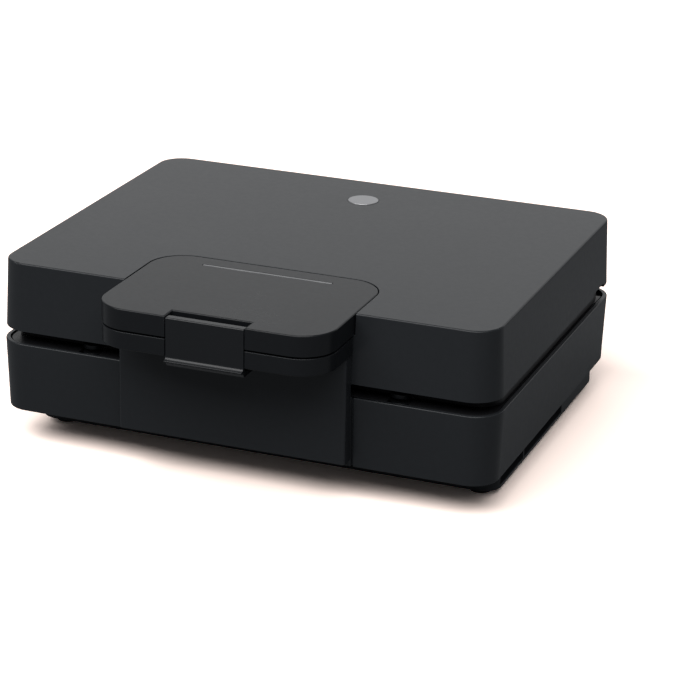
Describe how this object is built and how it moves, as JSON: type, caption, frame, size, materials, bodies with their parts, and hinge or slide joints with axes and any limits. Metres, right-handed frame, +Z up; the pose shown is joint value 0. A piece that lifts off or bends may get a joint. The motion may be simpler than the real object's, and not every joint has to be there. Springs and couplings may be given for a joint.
{
  "type": "sandwich maker",
  "caption": "Black electric sandwich maker with a hinged lid, a two-part front handle with a swing latch, removable triangle-pocket plates and a cord-wrap base.",
  "frame": {"origin": "centre of the bounding box on the surface that the feet stand on", "axes": "+X to the right as seen from the handle's side, +Y to the hinge at the rear, +Z up"},
  "size_m": [0.2892, 0.277, 0.1068],
  "materials": {
    "black_housing": "satin",
    "latch_black": "semi gloss",
    "carrier_black": "matt, heat resistant",
    "nonstick": "non-stick coated casting",
    "heater_steel": "sheathed, dull",
    "reflector_sheet": "bright sheet",
    "steel": "zinc plated",
    "badge_silver": "satin",
    "light_lens": "smoked",
    "board_green": "resist coated",
    "white_plastic": "matt",
    "foot_rubber": "matt"
  },
  "bodies": {
    "base": {"base_shell": "black_housing", "front_cover": "black_housing", "lower_handle": "black_housing", "latch_keeper": "steel", "lower_bezel": "carrier_black", "lower_plate": "nonstick", "lower_heater": "heater_steel", "lower_reflector": "reflector_sheet", "thermostat": "steel", "terminal_block": "white_plastic", "cord_inlet": "foot_rubber", "bottom_cover": "black_housing", "front_left_foot": "foot_rubber", "front_right_foot": "foot_rubber", "rear_left_foot": "foot_rubber", "rear_right_foot": "foot_rubber", "left_hinge_pin": "steel", "right_hinge_pin": "steel", "base_screws": "steel", "bottom_cover_screws": "steel", "lower_handle_screws": "steel", "front_cover_screws": "steel", "lower_left_tab_spring": "steel", "lower_right_tab_spring": "steel"},
    "lid": {"lid_shell": "black_housing", "upper_handle": "black_housing", "light_bar": "light_lens", "indicator_board": "board_green", "badge": "badge_silver", "upper_bezel": "carrier_black", "upper_plate": "nonstick", "upper_heater": "heater_steel", "upper_reflector": "reflector_sheet", "thermal_fuse": "white_plastic", "upper_handle_screws": "steel", "upper_bezel_screws": "steel", "latch_pin": "steel", "upper_left_tab_spring": "steel", "upper_right_tab_spring": "steel"},
    "latch": {"latch": "latch_black"},
    "upper_left_release": {"upper_left_release_tab": "black_housing"},
    "upper_right_release": {"upper_right_release_tab": "black_housing"},
    "lower_left_release": {"lower_left_release_tab": "black_housing"},
    "lower_right_release": {"lower_right_release_tab": "black_housing"}
  },
  "joints": [
    {"name": "lid_hinge", "type": "hinge", "parent": "base", "child": "lid", "pos_m": [0, 0.13351, 0.06385], "axis": [-1, 0, 0], "range_deg": [0, 105]},
    {"name": "latch_pivot", "type": "hinge", "parent": "lid", "child": "latch", "pos_m": [0, -0.13231, 0.102], "axis": [-1, 0, 0], "range_deg": [0, 60]},
    {"name": "upper_left_release_slide", "type": "slide", "parent": "lid", "child": "upper_left_release", "axis": [0, 1, 0], "range_m": [0, 0.003], "stiffness_N_per_m": 300, "springref_m": -0.006, "deforming": ["upper_left_tab_spring"]},
    {"name": "upper_right_release_slide", "type": "slide", "parent": "lid", "child": "upper_right_release", "axis": [0, 1, 0], "range_m": [0, 0.003], "stiffness_N_per_m": 300, "springref_m": -0.006, "deforming": ["upper_right_tab_spring"]},
    {"name": "lower_left_release_slide", "type": "slide", "parent": "base", "child": "lower_left_release", "axis": [0, 1, 0], "range_m": [0, 0.003], "stiffness_N_per_m": 300, "springref_m": -0.006, "deforming": ["lower_left_tab_spring"]},
    {"name": "lower_right_release_slide", "type": "slide", "parent": "base", "child": "lower_right_release", "axis": [0, 1, 0], "range_m": [0, 0.003], "stiffness_N_per_m": 300, "springref_m": -0.006, "deforming": ["lower_right_tab_spring"]}
  ]
}
